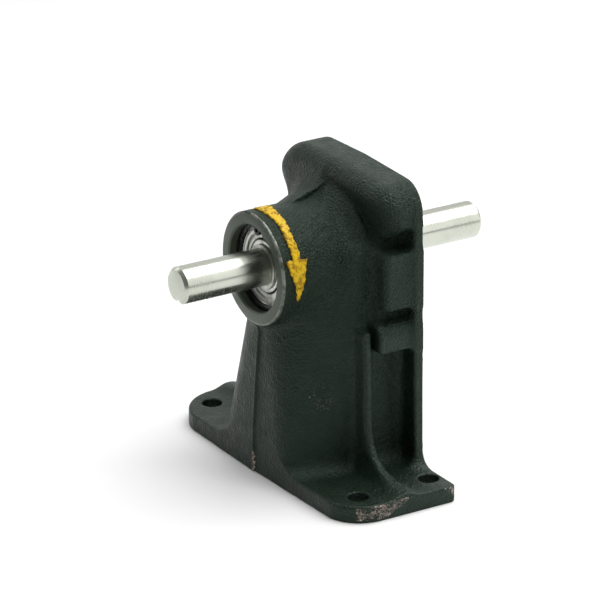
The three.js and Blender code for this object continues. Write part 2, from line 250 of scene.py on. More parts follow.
def blocks_field(x, y, z, a):
    """The pad on the right side, and a lug on each side below it."""
    pad = rectangle(x, z, (BLOCK_INNER, PAD_Z[0]), (BLOCK_HALF, PAD_Z[1]), 1.2)
    pad = extruded(pad, y, HEAD_Y, BLOCK_BACK, 3.6)
    lug = rectangle(a, z, (BLOCK_INNER, LUG_Z[0] - 10), (BLOCK_HALF, LUG_Z[1] + 0.8), 7.5)
    lug = extruded(smooth_max(lug, LUG_Z[0] - z, 1.5), y, LUG_Y, BLOCK_BACK, 2.0)
    return smooth_min(pad, lug, 2)


def rib_field(y, z, a):
    """A rib on each side, which sweeps out along the foot."""
    outline = [
        (34, 4), (86.5, 4), (86.5, 9.2), (79, 11.2), (71.5, 13.8), (64.5, 17.0), (59.0, 21.2),
        (55.4, 26.5), (53.2, 33), (52.7, 42), (52.7, 56), (52.3, 70), (51.4, 82), (50.6, 87.5), (34, 88.5),
    ]
    return extruded(polygon(a, z, outline), y, RIB_Y[0], RIB_Y[1], 1.8)


def foot_outline(x, y, a, front):
    in_front = y < DEPTH / 2
    corner = np.where(in_front, np.where(x < 0, FOOT_CORNERS[0], FOOT_CORNERS[1]), REAR_CORNER)
    u = a - HALF_WIDTH + 0.25 + corner
    v = np.where(in_front, np.abs(front - DEPTH / 2) - DEPTH / 2 + corner, y - DEPTH + corner)
    return rounded(u, v, corner)


def casting_field(x, y, z):
    """Signed distance of the casting after its holes are drilled."""
    a = np.abs(x)
    r = np.hypot(a, z - AXIS_Z)
    body = column_field(x, y, z, a, r)
    body = smooth_min(body, boss_field(y, r), 1.6 + 5 * np.clip((CORE_Y - y) / 8, 0, 1))
    body = np.minimum(body, web_field(x, y, z, r))

    outline = head_outline(x, z, a)
    body = smooth_min(body, head_field(x, y, z, a, outline), 2.2 + 5 * smooth_step((-1 - x) / 5))
    rear_plate = extruded(outline, y, PLATE_Y, HEAD_BACK, 1.6)
    body = smooth_min(body, rear_plate, 0.01 + 6 * np.clip((150 - z) / 12, 0, 1))
    between = rectangle(a, z, (BLOCK_INNER, LUG_Z[1] - 5), (BETWEEN_HALF, PAD_Z[0] + 5), 2)
    between = extruded(between, y, HEAD_Y + 1, BLOCK_BACK, 2)
    body = smooth_min(smooth_min(body, between, 4), blocks_field(x, y, z, a), 4.4)
    body = smooth_min(body, rib_field(y, z, a), 4)

    # the foot is faired into everything that stands on it
    front = y - a * DRAFT - seam(x)
    footprint = foot_outline(x, y, a, front)
    body = smooth_min(body, extruded(footprint, z, -10, FOOT, 1.1), FOOT_FAIRING)
    body = np.maximum(body, np.where(z < 60, 0.15 - front, -50))
    body = np.maximum(body, footprint)

    # cored hollow, and drilled and bored holes
    hollow = np.maximum(column_section(a, y + 0.5, z, WALL), y - (PLATE_Y - WALL))
    body = smooth_max(body, -smooth_max(hollow, z - HOLLOW_TOP, 8), 1)
    for hole_y in HOLE_Y:
        hole = np.hypot(a - np.where(x < 0, HOLE_X[0], HOLE_X[1]), y - hole_y) - HOLE_R
        body = smooth_max(body, -hole, 0.7)
    body = np.maximum(body, SHOULDER_R - r)
    seat_end = RECESS + BEARING_WIDTH + 1
    seats = np.maximum(r - GROOVE_R - 0.6, np.minimum(y - seat_end, DEPTH - seat_end - SPRING_SPACE - y))
    body = np.maximum(body, -seats)
    for tap_x, tap_z in TAPPED:
        tap = np.maximum(np.hypot(a - tap_x, z - tap_z) - TAP_R, DEPTH - TAP_DEPTH - y)
        body = np.maximum(body, -tap)
    return np.maximum(np.maximum(body, y - DEPTH), -z)


# ---- mesh helpers --------------------------------------------------------------------------------
def link(name, data):
    piece = bpy.data.objects.new(name, data)
    bpy.context.scene.collection.objects.link(piece)
    return piece


def field_mesh(name, field, lo, hi, step):
    """Meshes a distance field on a grid, then slides the points onto its zero surface."""
    axes = [np.arange(lo[i], hi[i] + step, step) for i in range(3)]
    x, y, z = np.meshgrid(*axes, indexing="ij", sparse=True)
    band = 3 * step
    values = np.clip(field(x, y, z).astype(np.float32), -band, band)
    grid = openvdb.FloatGrid(band)
    grid.copyFromArray(values)
    points, quads = grid.convertToQuads(0.0)
    points = points * step + np.array(lo)
    reach = 0.02
    for _ in range(3):
        gradient = []
        for i in range(3):
            ahead, behind = points.copy(), points.copy()
            ahead[:, i] += reach
            behind[:, i] -= reach
            gradient.append((field(*ahead.T) - field(*behind.T)) / (2 * reach))
        gradient = np.stack(gradient, 1)
        size = np.maximum((gradient ** 2).sum(1), 0.25)
        move = np.clip(field(*points.T) / size, -0.4 * step, 0.4 * step)
        points = points - gradient * move[:, None]
    mesh = bpy.data.meshes.new(name)
    mesh.from_pydata(((points + np.array([0, FACE_Y, 0])) * MM).tolist(), [], quads.astype(int).tolist())
    mesh.polygons.foreach_set("use_smooth", [True] * len(mesh.polygons))
    return link(name, mesh)


def about_axis(radius, angle, y):
    """A point in metres, with the angle turned clockwise from the top and y back from the boss face."""
    return radius * math.sin(angle) * MM, (FACE_Y + y) * MM, (AXIS_Z + radius * math.cos(angle)) * MM


def piece_from(bm, name, sharp=30):
    """Turns a finished bmesh into a piece."""
    bmesh.ops.recalc_face_normals(bm, faces=bm.faces)
    mesh = bpy.data.meshes.new(name)
    bm.to_mesh(mesh)
    bm.free()
    piece = link(name, mesh)
    shade(piece, sharp)
    return piece


def turned(name, profile, segments=160, sharp=30):
    """A closed ring or bar turned about the shaft axis from (radius, depth) points."""
    bm = bmesh.new()
    poles = {i: bm.verts.new(about_axis(0, 0, y)) for i, (radius, y) in enumerate(profile) if radius == 0}
    rows = []
    for k in range(segments):
        angle = 2 * math.pi * k / segments
        rows.append([poles[i] if i in poles else bm.verts.new(about_axis(radius, angle, y))
                     for i, (radius, y) in enumerate(profile)])
    count = len(profile)
    spans = range(count - 1) if poles else range(count)
    for k in range(segments):
        near, far = rows[k], rows[(k + 1) % segments]
        for i in spans:
            j = (i + 1) % count
            corners = list(dict.fromkeys((near[i], near[j], far[j], far[i])))
            bm.faces.new(corners)
    return piece_from(bm, name, sharp)


def shade(piece, angle=30):
    """Smooth shading, broken at edges sharper than the angle."""
    mesh = piece.data
    mesh.polygons.foreach_set("use_smooth", [True] * len(mesh.polygons))
    bm = bmesh.new()
    bm.from_mesh(mesh)
    limit = math.radians(angle)
    for edge in bm.edges:
        edge.smooth = len(edge.link_faces) == 2 and edge.calc_face_angle(0) < limit
    bm.to_mesh(mesh)
    bm.free()


def plate(name, outlines, start, end, bevel=0.12):
    """A flat stamped part: closed outlines in (x, z) about the shaft axis, the first one outermost."""
    curve = bpy.data.curves.new(name, "CURVE")
    curve.dimensions = "2D"
    curve.fill_mode = "BOTH"
    curve.extrude = ((end - start) / 2 - bevel) * MM
    curve.bevel_depth = bevel * MM
    curve.bevel_resolution = 1
    for points in outlines:
        spline = curve.splines.new("POLY")
        spline.points.add(len(points) - 1)
        for point, (u, v) in zip(spline.points, points):
            point.co = (u * MM, v * MM, 0, 1)
        spline.use_cyclic_u = True
    source = link(name + "_outline", curve)
    mesh = bpy.data.meshes.new_from_object(source.evaluated_get(bpy.context.evaluated_depsgraph_get()))
    bpy.data.objects.remove(source)
    middle = (FACE_Y + (start + end) / 2) * MM
    for v in mesh.vertices:
        v.co = (v.co.x, middle - v.co.z, AXIS_Z * MM + v.co.y)
    bm = bmesh.new()
    bm.from_mesh(mesh)
    bpy.data.meshes.remove(mesh)
    bmesh.ops.remove_doubles(bm, verts=bm.verts, dist=1e-7)
    return piece_from(bm, name, 35)


def cut(piece, cutter):
    modifier = piece.modifiers.new("cut", "BOOLEAN")
    modifier.operation = "DIFFERENCE"
    modifier.solver = "EXACT"
    modifier.object = cutter
    bpy.context.view_layer.update()
    mesh = bpy.data.meshes.new_from_object(piece.evaluated_get(bpy.context.evaluated_depsgraph_get()))
    piece.modifiers.clear()
    piece.data = mesh
    bpy.data.objects.remove(cutter)


def finish_piece(piece, material, body, slot, *nodes):
    """Paints a piece, puts it on its body, and hides the CAD nodes that it stands in for."""
    piece.data.materials.clear()
    piece.data.materials.append(material)
    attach(piece, body)
    if nodes:
        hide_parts(*nodes)


# ---- materials -----------------------------------------------------------------------------------
class Nodes:
    """A material's node tree, with short calls for the nodes that these finishes use."""

    def __init__(self, name, color, metallic, roughness, **inputs):
        self.material = bpy.data.materials.new(name)
        self.material.use_nodes = True
        self.tree = self.material.node_tree
        self.shader = self.tree.nodes["Principled BSDF"]
        self.shader.inputs["Base Color"].default_value = (*color, 1)
        self.shader.inputs["Metallic"].default_value = metallic
        self.shader.inputs["Roughness"].default_value = roughness
        for key, value in inputs.items():
            self.shader.inputs[key.replace("_", " ")].default_value = value
        self.coords = self.tree.nodes.new("ShaderNodeTexCoord").outputs["Object"]

    def link(self, source, target):
        self.tree.links.new(source, target)

    def mapped(self, scale):
        node = self.tree.nodes.new("ShaderNodeMapping")
        node.inputs["Scale"].default_value = scale
        self.link(self.coords, node.inputs["Vector"])
        return node.outputs["Vector"]

    def noise(self, scale, detail=3.0, roughness=0.5, vector=None, distortion=0.0):
        node = self.tree.nodes.new("ShaderNodeTexNoise")
        node.inputs["Scale"].default_value = scale
        node.inputs["Detail"].default_value = detail
        node.inputs["Roughness"].default_value = roughness
        node.inputs["Distortion"].default_value = distortion
        self.link(vector or self.coords, node.inputs["Vector"])
        return node.outputs["Fac"]

    def voronoi(self, scale):
        node = self.tree.nodes.new("ShaderNodeTexVoronoi")
        node.inputs["Scale"].default_value = scale
        self.link(self.coords, node.inputs["Vector"])
        return node.outputs["Distance"]

    def ramp(self, value, low, high, out_low=0.0, out_high=1.0):
        node = self.tree.nodes.new("ShaderNodeMapRange")
        node.interpolation_type = "SMOOTHSTEP"
        sockets = ("From Min", "From Max", "To Min", "To Max")
        for socket, number in zip(sockets, (low, high, out_low, out_high)):
            node.inputs[socket].default_value = number
        self.link(value, node.inputs["Value"])
        return node.outputs["Result"]

    def math(self, operation, a, b=0.0):
        node = self.tree.nodes.new("ShaderNodeMath")
        node.operation = operation
        for socket, value in zip(node.inputs, (a, b)):
            if isinstance(value, (int, float)):
                socket.default_value = value
            else:
                self.link(value, socket)
        return node.outputs[0]

    def add(self, a, b):
        return self.math("ADD", a, b)

    def times(self, a, b):
        return self.math("MULTIPLY", a, b)

    def most(self, a, b):
        return self.math("MAXIMUM", a, b)

    def blend(self, a, b, share):
        return self.add(self.times(a, 1 - share), self.times(b, share))

    def axis(self, name):
        node = self.tree.nodes.new("ShaderNodeSeparateXYZ")
        self.link(self.coords, node.inputs[0])
        return node.outputs[name]

    def combined(self, x=None, y=None, z=None):
        node = self.tree.nodes.new("ShaderNodeCombineXYZ")
        for socket, source in zip(node.inputs, (x, y, z)):
            if source:
                self.link(source, socket)
        return node.outputs[0]

    def distance(self, vector, point):
        node = self.tree.nodes.new("ShaderNodeVectorMath")
        node.operation = "DISTANCE"
        node.inputs[1].default_value = point
        self.link(vector, node.inputs[0])
        return node.outputs["Value"]

    def off_axis(self):
        """Distance from the shaft axis."""
        return self.distance(self.combined(x=self.axis("X"), z=self.axis("Z")), (0, 0, AXIS_Z * MM))

    def mix(self, factor, a, b):
        node = self.tree.nodes.new("ShaderNodeMix")
        node.data_type = "RGBA"
        self.link(factor, node.inputs["Factor"])
        for socket, value in ((node.inputs[6], a), (node.inputs[7], b)):
            if isinstance(value, tuple):
                socket.default_value = (*value, 1)
            else:
                self.link(value, socket)
        return node.outputs[2]

    def bump(self, height, distance, strength=1.0, normal=None):
        node = self.tree.nodes.new("ShaderNodeBump")
        node.inputs["Distance"].default_value = distance * MM
        node.inputs["Strength"].default_value = strength
        self.link(height, node.inputs["Height"])
        if normal:
            self.link(normal, node.inputs["Normal"])
        return node.outputs["Normal"]

    def set(self, **sources):
        for key, source in sources.items():
            self.link(source, self.shader.inputs[key.replace("_", " ")])


def casting_paint():
    n = Nodes("black_enamel_on_cast_iron", (0.008, 0.016, 0.0095), 0.0, 0.42,
              Specular_IOR_Level=0.34, Specular_Tint=(0.80, 1.0, 0.86, 1.0))
    x, y, z = (n.axis(k) for k in "XYZ")

    # sand grain, rougher on the boss and head than on the column
    grain = n.noise(950, 2, 0.55)
    pits = n.voronoi(850)
    coarse = n.noise(330, 3, 0.6)
    upper = n.ramp(z, 0.075, 0.10, 0.45, 1.0)
    height = n.times(n.add(n.times(grain, 1.5), n.times(pits, 0.9)), upper)
    height = n.add(height, n.times(coarse, 0.8))
    skin = n.bump(height, 0.75, 0.9)

    chips = n.most(n.most(edge_chips(n, x, y, z), seam_chip(n, x, y, z)), n.most(scratches(n), specks(n)))
    rust = n.mix(n.ramp(n.noise(1300, 3, 0.7), 0.44, 0.62), (0.15, 0.095, 0.078), (0.62, 0.56, 0.50))
    dust = n.ramp(n.noise(75, 4, 0.65), 0.45, 0.75)
    paint = n.mix(dust, (0.0050, 0.0118, 0.0066), (0.0085, 0.0165, 0.0102))
    gloss = n.ramp(n.noise(140, 4, 0.6), 0.3, 0.7, 0.34, 0.50)
    n.set(
        Base_Color=n.mix(chips, paint, rust),
        Roughness=n.add(n.times(chips, 0.3), gloss),
        Normal=n.bump(n.times(chips, -1.0), 0.12, 0.8, skin),
    )
    return n.material


def edge_chips(n, x, y, z):
    """Paint knocked off along the right-hand edge of the foot, worst round the front corner."""
    radius = FOOT_CORNERS[1]
    u = n.most(n.math("SUBTRACT", x, (HALF_WIDTH - radius) * MM), 0.0)
    v = n.most(n.math("SUBTRACT", (FACE_Y + radius + 2) * MM, y), 0.0)
    rim = n.math("SQRT", n.add(n.times(u, u), n.times(v, v)))
    side = n.ramp(rim, (radius - 1.6) * MM, (radius - 0.5) * MM)
    side = n.times(side, n.ramp(x, 81.5 * MM, 85 * MM))
    front_corner = n.ramp(y, (FACE_Y + 24) * MM, (FACE_Y + 46) * MM, 1.0, 0.0)
    rear_corner = n.ramp(y, (FACE_Y + DEPTH - 9) * MM, (FACE_Y + DEPTH - 3) * MM, 0.0, 0.7)
    lower_edge = n.add(n.times(n.most(front_corner, rear_corner), -8.4 * MM), 7.7 * MM)
    over_edge = n.ramp(n.math("SUBTRACT", z, lower_edge), -1.2 * MM, 2.4 * MM)
    under_top = n.ramp(z, (FOOT + 0.2) * MM, (FOOT + 1.2) * MM, 1, 0)
    band = n.times(n.times(side, over_edge), under_top)
    band = n.times(band, n.add(n.times(front_corner, 0.035), 0.285))
    ragged = n.blend(n.noise(1500, 4, 0.80, distortion=0.8), n.noise(260, 2, 0.5), 0.35)
    return n.ramp(n.add(band, ragged), 0.805, 0.85)


def seam_chip(n, x, y, z):
    """A chip down the mould seam at the front of the foot."""
    wander = n.times(n.math("SUBTRACT", n.noise(400, 3, 0.6), 0.5), 3.2 * MM)
    off_seam = n.math("ABSOLUTE", n.add(n.add(x, 0.2 * MM), wander))
    chip = n.times(n.ramp(off_seam, 0.45 * MM, 0.75 * MM, 1, 0), n.ramp(z, 10.5 * MM, 12.5 * MM, 1, 0))
    return n.times(chip, n.ramp(y, (FACE_Y + 1.6) * MM, (FACE_Y + 2.4) * MM, 1, 0))


def scratches(n):
    """Fine scratches in one patch of the right cheek."""
    reach = n.distance(n.coords, (34 * MM, (FACE_Y + 21) * MM, 50 * MM))
    line = n.math("ABSOLUTE", n.math("SUBTRACT", n.noise(150, 3, 0.6, distortion=2.4), 0.5))
    scratch = n.times(n.ramp(line, 0.006, 0.012, 1, 0), n.ramp(n.noise(700, 3, 0.7), 0.46, 0.56))
    return n.times(scratch, n.ramp(reach, 5 * MM, 9 * MM, 0.5, 0))


def specks(n):
    return n.times(n.ramp(n.noise(800, 2, 0.4), 0.815, 0.83), 0.7)


def arrow_paint():
    n = Nodes("brushed_on_yellow_paint", (0.74, 0.45, 0.02), 0.0, 0.42,
              Specular_IOR_Level=0.35, Specular_Tint=(1.0, 0.86, 0.45, 1.0))
    body = n.noise(330, 4, 0.65, distortion=0.6)
    yellow = n.mix(n.ramp(body, 0.38, 0.60), (0.28, 0.145, 0.004), (0.66, 0.43, 0.012))
    # painted shade: the yellow darkens towards the arrow's edges, where the paint lies lowest on the boss
    arrow_edge_shade = n.ramp(n.off_axis(), (BOSS_R + 0.15) * MM, (BOSS_R + 0.62) * MM, 1, 0)
    n.set(
        Base_Color=n.mix(arrow_edge_shade, yellow, (0.17, 0.085, 0.012)),
        Roughness=n.ramp(body, 0.3, 0.7, 0.5, 0.3),
        Normal=n.bump(n.noise(900, 3, 0.6), 0.5, 0.5),
    )
    return n.material


def machined_iron():
    n = Nodes("turned_iron", (0.09, 0.10, 0.09), 0.55, 0.42)
    y = n.axis("Y")
    radius = n.off_axis()
    tool_marks = n.noise(4200, 2, 0.6, vector=n.combined(x=radius, y=y))
    stain = n.ramp(n.noise(90, 6, 0.7), 0.3, 0.75)
    turned_face = n.mix(stain, (0.056, 0.072, 0.053), (0.078, 0.095, 0.069))

    # painted highlight in patches round the edge of the boss, where its chamfer catches the light
    painted_rim_highlight = n.ramp(radius, (BOSS_R - 1.5) * MM, (BOSS_R - 0.8) * MM, 0, 0.8)
    painted_rim_highlight = n.times(painted_rim_highlight, n.ramp(n.noise(260, 3, 0.6), 0.35, 0.6))
    painted_rim_highlight = n.times(painted_rim_highlight, n.ramp(y, (FACE_Y + 4) * MM, (FACE_Y + 6) * MM, 1, 0))
    n.set(
        Base_Color=n.mix(painted_rim_highlight, turned_face, (0.24, 0.25, 0.22)),
        Roughness=n.ramp(stain, 0, 1, 0.34, 0.52),
        Normal=n.bump(tool_marks, 0.05, 0.6),
    )
    return n.material


def ground_steel():
    n = Nodes("ground_shaft_steel", (0.58, 0.585, 0.55), 1.0, 0.28,
              Anisotropic=0.5, Anisotropic_Rotation=0.25)
    around = n.tree.nodes.new("ShaderNodeTangent")
    around.direction_type = "RADIAL"
    around.axis = "Y"
    grinding = n.noise(1, 3, 0.7, vector=n.mapped((60, 5200, 60)))
    streaks = n.noise(1, 4, 0.6, vector=n.mapped((25, 900, 25)))
    smear = n.ramp(n.noise(45, 3, 0.5), 0.35, 0.7)
    n.set(
        Base_Color=n.mix(smear, (0.555, 0.575, 0.505), (0.51, 0.53, 0.46)),
        Roughness=n.ramp(n.blend(streaks, smear, 0.3), 0.25, 0.75, 0.24, 0.29),
        Normal=n.bump(grinding, 0.0008, 0.35),
        Tangent=around.outputs["Tangent"],
    )
    return n.material


def bearing_steel():
    n = Nodes("polished_bearing_steel", (0.70, 0.70, 0.70), 1.0, 0.14)
    grinding = n.noise(1, 2, 0.6, vector=n.mapped((300, 3000, 300)))
    oil = n.ramp(n.noise(240, 4, 0.6), 0.4, 0.7)
    n.set(
        Base_Color=n.mix(oil, (0.56, 0.575, 0.53), (0.40, 0.41, 0.37)),
        Roughness=n.ramp(oil, 0, 1, 0.24, 0.36),
        Normal=n.bump(grinding, 0.004, 0.6),
    )
    return n.material


def shield_steel():
    n = Nodes("pressed_shield_steel", (0.50, 0.50, 0.50), 1.0, 0.28)
    tarnish = n.ramp(n.noise(200, 4, 0.6), 0.4, 0.7)
    n.set(
        Base_Color=n.mix(tarnish, (0.47, 0.485, 0.44), (0.30, 0.31, 0.275)),
        Roughness=n.ramp(tarnish, 0, 1, 0.30, 0.44),
        Normal=n.bump(n.noise(900, 3, 0.6), 0.01, 0.6),
    )
    return n.material


def spring_steel():
    n = Nodes("blackened_spring_steel", (0.02, 0.02, 0.021), 0.85, 0.36)
    wear = n.ramp(n.noise(500, 4, 0.6), 0.52, 0.66)
    n.set(
        Base_Color=n.mix(wear, (0.016, 0.016, 0.017), (0.07, 0.068, 0.066)),
        Roughness=n.ramp(wear, 0, 1, 0.30, 0.48),
        Normal=n.bump(n.noise(1400, 2, 0.5), 0.01, 0.6),
    )
    return n.material


def floor_paint():
    n = Nodes("pale_floor", (0.86, 0.86, 0.86), 0.0, 0.75)
    n.set(Base_Color=n.mix(n.noise(3, 2, 0.5), (0.85, 0.85, 0.85), (0.88, 0.88, 0.88)))
    return n.material


# ---- the casting ---------------------------------------------------------------------------------
def casting(paint, machined):
    """The casting, painted all over but for its machined rear face and underside."""
    lo = (-HALF_WIDTH - 2, -2.0, -2.0)
    hi = (HALF_WIDTH + 2, DEPTH + 2.0, TOP + 2.0)
    voxel = 0.75
    piece = field_mesh("cast_pedestal", casting_field, lo, hi, voxel)
    finish_piece(piece, paint, "frame", "casting_paint", "pedestal_casting")
    piece.data.materials.append(machined)
    faces = piece.data.polygons
    normals = np.zeros((len(faces), 3))
    centres = np.zeros((len(faces), 3))
    faces.foreach_get("normal", normals.ravel())
    faces.foreach_get("center", centres.ravel())
    rear = (normals[:, 1] > 0.98) & (centres[:, 1] > (FACE_Y + DEPTH - 0.1) * MM)
    under = (normals[:, 2] < -0.98) & (centres[:, 2] < 0.1 * MM)
    faces.foreach_set("material_index", (rear | under).astype(np.int32))
    piece.data.update()


def bore_rings(machined):
    """The turned bores and faces at each end: crisp machined surfaces set into the rough casting."""
    seat_end = RECESS + BEARING_WIDTH
    back = GROOVE_R + 1.2
    rim = BOSS_R - 0.08
    groove = [
        (SEAT_R, 0.8), (SEAT_R, RECESS - GROOVE_WIDTH), (GROOVE_R, RECESS - GROOVE_WIDTH),
        (GROOVE_R, RECESS), (SEAT_R, RECESS),
    ]
    front = [
        (BOSS_R - 1.1, 0), (MOUTH_R, 0), *groove, (SEAT_R, seat_end), (SHOULDER_R + 0.3, seat_end),
        (SHOULDER_R, seat_end + 0.3), (SHOULDER_R, seat_end + 2), (back, seat_end + 2), (back, 3.2),
        (28.6, 2.6), (rim, 1.5), (rim, 1.0), (BOSS_R - 0.4, 0.35),
    ]
    ring = turned("front_bore_machining", front)
    finish_piece(ring, machined, "frame", "machined_iron")
    rear_end = seat_end + SPRING_SPACE
    rear = [
        (back, 0.02), (MOUTH_R, 0.02), *groove, (SEAT_R, rear_end),
        (SHOULDER_R, rear_end), (SHOULDER_R, rear_end + 2), (back, rear_end + 2),
    ]
    ring = turned("rear_bore_machining", [(radius, DEPTH - y) for radius, y in rear])
    finish_piece(ring, machined, "frame", "machined_iron")


# ---- the painted arrow ---------------------------------------------------------------------------
ARROW_MIDDLE = 9.3            # back from the boss face
ARROW_BAND = 2.6              # half width
ARROW_HEAD = 5.9
ARROW_START = -12.0           # degrees from the top, clockwise seen from the front
ARROW_NECK = 66.0
ARROW_TIP = 109.0


def arrow_field(x, y, z):
    """A thick, uneven coat of paint on the boss, with u along the arrow and v across it."""
    r = np.hypot(x, z - AXIS_Z)
    per_degree = BOSS_R * math.pi / 180
    u = np.degrees(np.arctan2(x, z - AXIS_Z)) * per_degree
    v = y - ARROW_MIDDLE + 0.25 * np.sin(u * 0.35)
    start, neck, tip = (degrees * per_degree for degrees in (ARROW_START, ARROW_NECK, ARROW_TIP))
    half = ARROW_BAND - 0.2 + 1.7 * np.exp(-((u - start) / 13) ** 2)
    band = np.maximum(np.abs(v) - half, np.maximum(start - u, u - neck - 3))
    corners = [(neck, -ARROW_HEAD), (neck + 9, -3.6), (tip, 0.4), (neck + 7, 4.2), (neck + 1, ARROW_HEAD)]
    head = polygon(u, v, corners)

    # brush-torn edges, then lumps in the paint's thickness
    ragged = 0.35 * np.sin(u * 1.3 + 0.6) + 0.22 * np.sin(u * 2.9 + y * 1.7)
    ragged += 0.15 * np.sin(u * 5.3 - y * 2.1)
    ragged += 0.25 * np.sin(u * 9.1 + 2 * np.sin(y * 2.3)) + 0.18 * np.sin(y * 7.3 + u * 3.1)
    flat = smooth_min(band, head - 0.3, 1.2) + ragged * 0.65
    lumps = 0.16 * np.sin(u * 0.9 + 2.3 * np.sin(y * 0.9)) * np.sin(y * 1.7 + 1.1 * np.sin(u * 0.7))
    lumps += 0.10 * np.sin(u * 2.7 + 1.9 * np.sin(y * 2.3 + u * 0.4)) + 0.18 * smooth_step((u - neck) / 6)
    return extruded(flat, r, BOSS_R - 1.5, BOSS_R + 1.0 + lumps, 0.8)


def arrow(paint):
    lo = (-10.0, 1.5, AXIS_Z - 16)
    hi = (33.5, 17.5, AXIS_Z + 33)
    voxel = 0.4
    piece = field_mesh("rotation_arrow", arrow_field, lo, hi, voxel)
    finish_piece(piece, paint, "frame", "arrow_paint")


# ---- shaft, bearings and rings -------------------------------------------------------------------
SHAFT_R = 10.0
COLLAR_R = 13.0
CLIP_GROOVE_R = 9.5
CLIP_GROOVE = 1.5
KEY_WIDTH = 6.0
KEY_DEPTH = 3.5
KEY_LENGTH = 38.0


def shaft(steel):
    front = shaft_lo.y - FACE_Y
    back = shaft_hi.y - FACE_Y
    collar = RECESS + BEARING_WIDTH + 0.1
    end = [(0, 0), (7.9, 0), (8.5, 0.12), (SHAFT_R - 0.35, 1.35), (SHAFT_R, 1.9)]
    journal = [
        (SHAFT_R, RECESS - CLIP_GROOVE), (CLIP_GROOVE_R, RECESS - CLIP_GROOVE),
        (CLIP_GROOVE_R, RECESS - 0.05), (SHAFT_R, RECESS - 0.05), (SHAFT_R, collar),
        (COLLAR_R - 0.4, collar), (COLLAR_R, collar + 0.4),
    ]
    profile = [(radius, front + y) for radius, y in end] + journal
    profile += [(radius, DEPTH - y) for radius, y in reversed(journal)]
    profile += [(radius, back - y) for radius, y in reversed(end)]
    piece = turned("ground_shaft", profile, segments=192)
    cut(piece, key_slot(front))
    shade(piece)
    finish_piece(piece, steel, "rotor", "ground_steel", "drive_shaft")


def key_slot(front):
    """What is cut away under the shaft's front end, run out with an end mill."""
    half = KEY_WIDTH / 2
    end = front + KEY_LENGTH - half
    floor_z = AXIS_Z - SHAFT_R + KEY_DEPTH
    outline = [(-half, front - 2), (half, front - 2)]
    outline += [(half * math.cos(t), end + half * math.sin(t)) for t in np.linspace(0, math.pi, 33)]
    bm = bmesh.new()
    face = bm.faces.new([bm.verts.new((x * MM, (FACE_Y + y) * MM, floor_z * MM)) for x, y in outline])
    pushed = bmesh.ops.extrude_face_region(bm, geom=[face])
    moved = [v for v in pushed["geom"] if isinstance(v, bmesh.types.BMVert)]
    bmesh.ops.translate(bm, verts=moved, vec=(0, 0, -(KEY_DEPTH + 2) * MM))
    return piece_from(bm, "key_slot")


PITCH_R = 16.75
BALL_R = 3.969
BALLS = 8
LAND_IN = 14.1
LAND_OUT = 19.6


def raceway(side, middle, edge):
    """The round groove that the balls run in, from one edge of it to the other."""
    groove = BALL_R + 0.08
    half = math.acos(abs(edge - PITCH_R) / groove)
    return [(PITCH_R + side * groove * math.cos(t), middle + groove * math.sin(t))
            for t in np.linspace(-half, half, 13)]


def bearing(prefix, front, polished, pressed):
    back = front + BEARING_WIDTH
    middle = (front + back) / 2
    bore = SHAFT_R + 0.05
    inner = [
        (bore, front + 0.7), (bore + 0.25, front + 0.25), (bore + 0.7, front), (LAND_IN - 0.5, front),
        (LAND_IN - 0.12, front + 0.12), (LAND_IN, front + 0.5), *raceway(-1, middle, LAND_IN),
        (LAND_IN, back - 0.5), (LAND_IN - 0.12, back - 0.12), (LAND_IN - 0.5, back), (bore + 0.7, back),
        (bore + 0.25, back - 0.25), (bore, back - 0.7),
    ]
    piece = turned(f"{prefix}_inner_race", inner)
    finish_piece(piece, polished, "rotor", "bearing_steel", f"{prefix}_inner_ring")
    rim = SEAT_R - 0.04
    step = LAND_OUT + 0.7
    outer = [
        (rim, front + 0.9), (rim - 0.3, front + 0.3), (rim - 0.9, front), (step + 0.15, front),
        (step, front + 0.15), (step, front + 0.75), (LAND_OUT, front + 0.75), *raceway(1, middle, LAND_OUT),
        (LAND_OUT, back - 0.75), (step, back - 0.75), (step, back - 0.15), (step + 0.15, back),
        (rim - 0.9, back), (rim - 0.3, back - 0.3), (rim, back - 0.9),
    ]
    piece = turned(f"{prefix}_outer_race", outer)
    finish_piece(piece, polished, "frame", "bearing_steel", f"{prefix}_outer_ring")

    # pressed shields: a crimped outer bead, a flat, and a dished inner lip
    shape = [
        (step - 0.05, 0.70), (step - 0.08, 0.38), (step - 0.45, 0.26), (step - 0.95, 0.36),
        (step - 1.2, 0.62), (17.7, 0.66), (17.2, 0.56), (15.7, 0.52), (15.2, 0.62), (14.85, 0.90),
        (14.62, 1.30), (14.80, 1.38), (15.05, 1.02), (15.35, 0.80), (15.8, 0.70), (17.1, 0.74),
        (17.6, 0.84), (step - 1.0, 0.84),
    ]
    for name, sign, face in (("front", 1, front), ("rear", -1, back)):
        pressing = [(radius, face + sign * y) for radius, y in shape]
        piece = turned(f"{prefix}_{name}_shield_pressing", pressing, sharp=50)
        finish_piece(piece, pressed, "frame", "shield_steel", f"{prefix}_{name}_shield")

    body = prefix.replace("bearing", "cage")
    for i in range(BALLS):
        bm = bmesh.new()
        bmesh.ops.create_icosphere(bm, subdivisions=4, radius=BALL_R * MM)
        centre = about_axis(PITCH_R, 2 * math.pi * (i + 0.5) / BALLS, middle)
        bmesh.ops.translate(bm, verts=bm.verts, vec=centre)
        ball = piece_from(bm, f"{prefix}_steel_ball_{i + 1}")
        finish_piece(ball, polished, body, "bearing_steel", f"{prefix}_ball_{i + 1}")
    ribbon_cage(prefix, middle, pressed, body)


